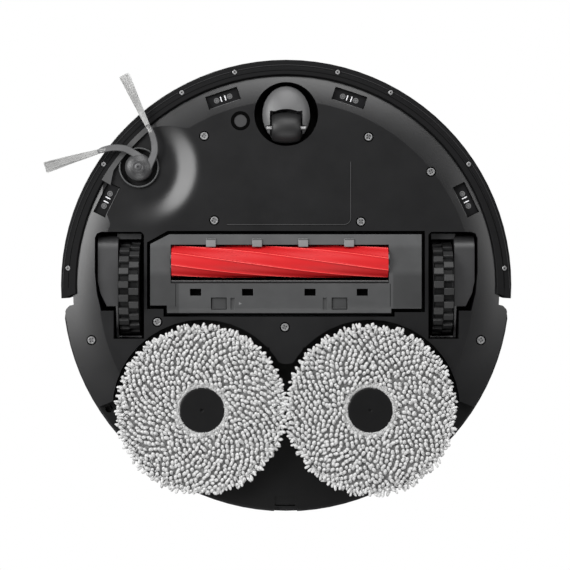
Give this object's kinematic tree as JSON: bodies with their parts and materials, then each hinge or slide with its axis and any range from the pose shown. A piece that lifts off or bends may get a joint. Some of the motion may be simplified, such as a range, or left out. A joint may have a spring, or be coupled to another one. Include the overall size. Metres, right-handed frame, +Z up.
{
  "type": "robot vacuum",
  "caption": "Round robot vacuum cleaner with a lidar turret, a sprung bumper, a side brush, a main brush under a cover, drive wheels and spinning mop pads.",
  "frame": {"origin": "on the floor, under the middle of the bounding box, which the side brush widens on the robot's right", "axes": "+Z up, -Y towards the front (the bumper), +X towards the robot's left"},
  "size_m": [0.3631, 0.3529, 0.0965],
  "materials": {
    "black_plastic": "fine satin texture",
    "trim_plastic": "satin",
    "gloss_plastic": "glossy",
    "grey_plastic": "satin",
    "tank_plastic": "smoky",
    "lens_plastic": "polished",
    "board_plastic": "solder mask",
    "steel": "plain",
    "wheel_rubber": "moulded",
    "hub_rubber": "moulded",
    "red_rubber": "moulded",
    "bristle": "nylon",
    "mop_cloth": "looped microfibre"
  },
  "bodies": {
    "chassis": {"chassis_base": "black_plastic", "rear_shell": "gloss_plastic", "top_shell": "black_plastic", "battery_pack": "grey_plastic", "main_board": "board_plastic", "brush_motor": "steel", "side_brush_motor": "grey_plastic", "suction_fan": "grey_plastic", "water_tank": "tank_plastic", "brush_bay": "trim_plastic", "carpet_sensor": "grey_plastic", "charging_contact_left": "steel", "charging_contact_right": "steel", "turret_base": "gloss_plastic", "caster_socket": "trim_plastic", "cliff_sensor_1": "lens_plastic", "cliff_sensor_2": "lens_plastic", "cliff_sensor_3": "lens_plastic", "cliff_sensor_4": "lens_plastic", "chassis_screw_1": "steel", "chassis_screw_2": "steel", "chassis_screw_3": "steel", "chassis_screw_4": "steel", "chassis_screw_5": "steel", "chassis_screw_6": "steel", "chassis_screw_7": "steel", "chassis_screw_8": "steel", "chassis_screw_9": "steel"},
    "bumper": {"bumper_shell": "gloss_plastic", "bumper_window": "lens_plastic", "bumper_trim": "trim_plastic"},
    "lidar": {"lidar_rotor": "lens_plastic"},
    "turret_cap": {"turret_cap": "black_plastic"},
    "power_button": {"power_button": "gloss_plastic"},
    "home_button": {"home_button": "gloss_plastic"},
    "top_lid": {"top_lid": "gloss_plastic"},
    "dustbin": {"dustbin_tub": "tank_plastic", "dustbin_lid": "grey_plastic"},
    "caster": {"caster_fork": "grey_plastic", "caster_axle": "steel"},
    "caster_wheel": {"caster_wheel": "wheel_rubber"},
    "side_brush": {"side_brush_hub": "hub_rubber", "side_brush_arm_1": "bristle", "side_brush_arm_2": "bristle", "side_brush_screw": "steel"},
    "main_brush": {"main_brush_roller": "red_rubber"},
    "brush_cover": {"brush_cover": "grey_plastic"},
    "cover_latch_1": {"brush_cover_latch_1": "grey_plastic"},
    "cover_latch_2": {"brush_cover_latch_2": "grey_plastic"},
    "left_suspension": {"left_wheel_arm": "grey_plastic"},
    "right_suspension": {"right_wheel_arm": "grey_plastic"},
    "left_wheel": {"left_tyre": "wheel_rubber", "left_wheel_hub": "black_plastic"},
    "right_wheel": {"right_tyre": "wheel_rubber", "right_wheel_hub": "black_plastic"},
    "mop_carrier": {"mop_carrier": "grey_plastic"},
    "left_mop": {"left_mop_disc": "black_plastic", "left_mop_pad": "mop_cloth"},
    "right_mop": {"right_mop_disc": "black_plastic", "right_mop_pad": "mop_cloth"}
  },
  "joints": [
    {"name": "bumper_press", "type": "slide", "parent": "chassis", "child": "bumper", "axis": [0, 1, 0], "range_m": [0, 0.003], "stiffness_N_per_m": 600},
    {"name": "lidar_spin", "type": "hinge", "parent": "chassis", "child": "lidar", "pos_m": [0.006, -0.045, 0.084], "axis": [0, 0, 1], "continuous": true},
    {"name": "turret_cap_press", "type": "slide", "parent": "chassis", "child": "turret_cap", "axis": [0, 0, -1], "range_m": [0, 0.001], "stiffness_N_per_m": 3000, "springref_m": -0.0005},
    {"name": "power_button_press", "type": "slide", "parent": "chassis", "child": "power_button", "axis": [0, 0, -1], "range_m": [0, 0.0008], "stiffness_N_per_m": 800, "springref_m": -0.0005},
    {"name": "home_button_press", "type": "slide", "parent": "chassis", "child": "home_button", "axis": [0, 0, -1], "range_m": [0, 0.0008], "stiffness_N_per_m": 800, "springref_m": -0.0005},
    {"name": "lid_lift", "type": "slide", "parent": "chassis", "child": "top_lid", "axis": [0, 0, 1], "range_m": [0, 0.16]},
    {"name": "dustbin_lift", "type": "slide", "parent": "chassis", "child": "dustbin", "axis": [0, 0, 1], "range_m": [0, 0.09]},
    {"name": "caster_swivel", "type": "hinge", "parent": "chassis", "child": "caster", "pos_m": [0.006, -0.135, 0.03], "axis": [0, 0, 1], "continuous": true},
    {"name": "caster_roll", "type": "hinge", "parent": "caster", "child": "caster_wheel", "pos_m": [0.006, -0.1244, 0.012], "axis": [1, 0, 0], "continuous": true},
    {"name": "side_brush_spin", "type": "hinge", "parent": "chassis", "child": "side_brush", "pos_m": [-0.1085, -0.0938, 0.01], "axis": [0, 0, 1], "continuous": true},
    {"name": "main_brush_spin", "type": "hinge", "parent": "chassis", "child": "main_brush", "pos_m": [0.001, -0.0206, 0.014], "axis": [1, 0, 0], "continuous": true},
    {"name": "brush_cover_open", "type": "hinge", "parent": "chassis", "child": "brush_cover", "pos_m": [0.006, -0.0416, 0.0095], "axis": [-1, 0, 0], "range_deg": [0, 75]},
    {"name": "cover_latch_1_slide", "type": "slide", "parent": "brush_cover", "child": "cover_latch_1", "axis": [0, -1, 0], "range_m": [0, 0.0025], "stiffness_N_per_m": 200},
    {"name": "cover_latch_2_slide", "type": "slide", "parent": "brush_cover", "child": "cover_latch_2", "axis": [0, -1, 0], "range_m": [0, 0.0025], "stiffness_N_per_m": 200},
    {"name": "left_suspension_drop", "type": "hinge", "parent": "chassis", "child": "left_suspension", "pos_m": [-0.132, -0.03, 0.026], "axis": [-1, 0, 0], "range_deg": [0, 40], "stiffness_Nm_per_rad": 0.1, "springref_deg": 51.57},
    {"name": "right_suspension_drop", "type": "hinge", "parent": "chassis", "child": "right_suspension", "pos_m": [0.144, -0.03, 0.026], "axis": [-1, 0, 0], "range_deg": [0, 40], "stiffness_Nm_per_rad": 0.1, "springref_deg": 51.57},
    {"name": "left_wheel_spin", "type": "hinge", "parent": "left_suspension", "child": "left_wheel", "pos_m": [-0.1155, 0, 0.0368], "axis": [1, 0, 0], "continuous": true},
    {"name": "right_wheel_spin", "type": "hinge", "parent": "right_suspension", "child": "right_wheel", "pos_m": [0.1275, 0, 0.0368], "axis": [1, 0, 0], "continuous": true},
    {"name": "mop_lift", "type": "slide", "parent": "chassis", "child": "mop_carrier", "axis": [0, 0, 1], "range_m": [0, 0.01]},
    {"name": "left_mop_spin", "type": "hinge", "parent": "mop_carrier", "child": "left_mop", "pos_m": [-0.0591, 0.0945, 0.008], "axis": [0, 0, 1], "continuous": true},
    {"name": "right_mop_spin", "type": "hinge", "parent": "mop_carrier", "child": "right_mop", "pos_m": [0.0711, 0.0945, 0.008], "axis": [0, 0, 1], "continuous": true}
  ],
  "couplings": [
    {"joint": "dustbin_lift", "follows": "lid_lift", "ratio": 0.55},
    {"joint": "right_mop_spin", "follows": "left_mop_spin", "ratio": -1}
  ]
}
